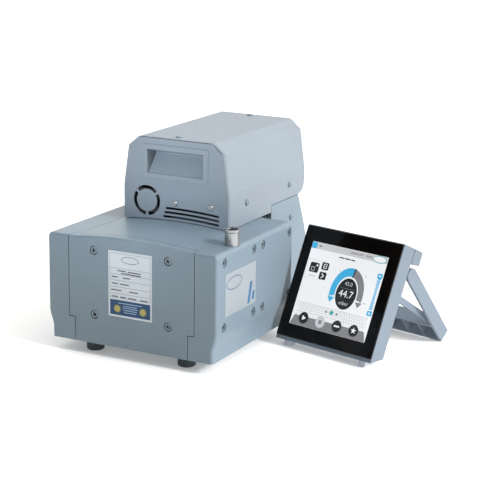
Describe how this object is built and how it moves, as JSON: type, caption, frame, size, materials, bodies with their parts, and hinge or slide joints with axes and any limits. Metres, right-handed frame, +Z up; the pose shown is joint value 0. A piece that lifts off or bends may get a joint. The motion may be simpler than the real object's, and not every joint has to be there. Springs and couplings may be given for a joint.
{
  "type": "laboratory diaphragm vacuum pump with controller",
  "caption": "Oil-free laboratory diaphragm vacuum pump with drive electronics under a bent hood, and a separate touch-screen controller on a folding stand.",
  "frame": {"origin": "centre of the pump's and the controller's common footprint, on the table", "axes": "+Z up, +X to the right seen from the front, the front cover faces -Y"},
  "size_m": [0.4356, 0.3486, 0.2663],
  "materials": {
    "cover_paint": "satin blue-grey paint",
    "hood_paint": "fine-textured blue-grey powder coat",
    "screw_steel": "zinc-plated",
    "small_screw_steel": "nickel-plated",
    "stainless": "turned and polished",
    "plate_foil": "matt printed foil",
    "foot_rubber": "matt",
    "black_plastic": "fine grain",
    "silencer_plastic": "moulded",
    "cast_metal": "as cast",
    "diaphragm_rubber": "coated",
    "shaft_steel": "ground",
    "winding_copper": "varnished",
    "board_green": "solder mask",
    "controller_plastic": "fine grain",
    "glass_black": "polished",
    "display": "lit screen"
  },
  "bodies": {
    "pump": {"crankcase": "cast_metal", "base_plate": "cover_paint", "front_cover": "cover_paint", "right_side_cover": "cover_paint", "left_side_cover": "cover_paint", "top_deck": "cover_paint", "front_screws": "screw_steel", "right_side_screws": "screw_steel", "left_side_screws": "screw_steel", "rating_plate": "plate_foil", "side_label": "plate_foil", "feet": "foot_rubber", "inlet_flange": "stainless", "outlet_silencer": "silencer_plastic", "right_pump_head": "cast_metal", "left_pump_head": "cast_metal", "right_diaphragms": "diaphragm_rubber", "left_diaphragms": "diaphragm_rubber", "right_rods": "cast_metal", "left_rods": "cast_metal", "bearings": "shaft_steel", "motor_housing": "cover_paint", "intake_guard": "black_plastic", "motor_stator": "winding_copper", "fan_grille": "cover_paint", "rear_block_screws": "screw_steel", "hood_shell": "hood_paint", "hood_front_panel": "hood_paint", "handle_cup": "hood_paint", "panel_screws": "small_screw_steel", "hood_screws": "small_screw_steel", "hood_rear_panel": "hood_paint", "power_inlet": "black_plastic", "switch_frame": "black_plastic", "control_sockets": "black_plastic", "electronics_tray": "cast_metal", "drive_board": "board_green", "heat_sink": "cast_metal", "small_fan_frame": "black_plastic"},
    "drive_shaft": {"crankshaft": "shaft_steel", "counterweights": "shaft_steel", "motor_rotor": "shaft_steel", "cooling_fan": "black_plastic"},
    "small_fan": {"small_fan_rotor": "black_plastic"},
    "rocker": {"switch_rocker": "black_plastic"},
    "controller": {"controller_case": "controller_plastic", "glass_panel": "glass_black", "display_module": "display", "controller_board": "board_green", "back_cover": "controller_plastic", "rear_hump": "controller_plastic", "hump_sockets": "black_plastic", "front_pads": "foot_rubber", "hinge_pins": "shaft_steel"},
    "leg": {"stand_leg": "controller_plastic", "leg_pads": "foot_rubber", "strut_pins": "shaft_steel"},
    "strut": {"stand_strut": "controller_plastic"}
  },
  "joints": [
    {"name": "drive_shaft_spin", "type": "hinge", "parent": "pump", "child": "drive_shaft", "pos_m": [-0.09634, -0.07425, 0.085], "axis": [0, 1, 0], "continuous": true},
    {"name": "small_fan_spin", "type": "hinge", "parent": "pump", "child": "small_fan", "pos_m": [-0.13894, -0.05625, 0.1807], "axis": [0, 1, 0], "continuous": true},
    {"name": "power_switch", "type": "hinge", "parent": "pump", "child": "rocker", "pos_m": [-0.10434, 0.15725, 0.192], "axis": [1, 0, 0], "range_deg": [-14, 0]},
    {"name": "controller_lift", "type": "slide", "parent": "pump", "child": "controller", "axis": [0, 0, 1], "range_m": [0, 0.3]},
    {"name": "stand_fold", "type": "hinge", "parent": "controller", "child": "leg", "pos_m": [0.1226, 0.04454, 0.10485], "axis": [0.9711, -0.2385, 0], "range_deg": [-63.9, 0]},
    {"name": "strut_fold", "type": "hinge", "parent": "leg", "child": "strut", "pos_m": [0.13492, 0.09467, 0.03531], "axis": [0.9711, -0.2385, 0], "range_deg": [-18.85, 0]}
  ],
  "couplings": [
    {"joint": "strut_fold", "follows": "stand_fold", "ratio": 0.2948}
  ]
}
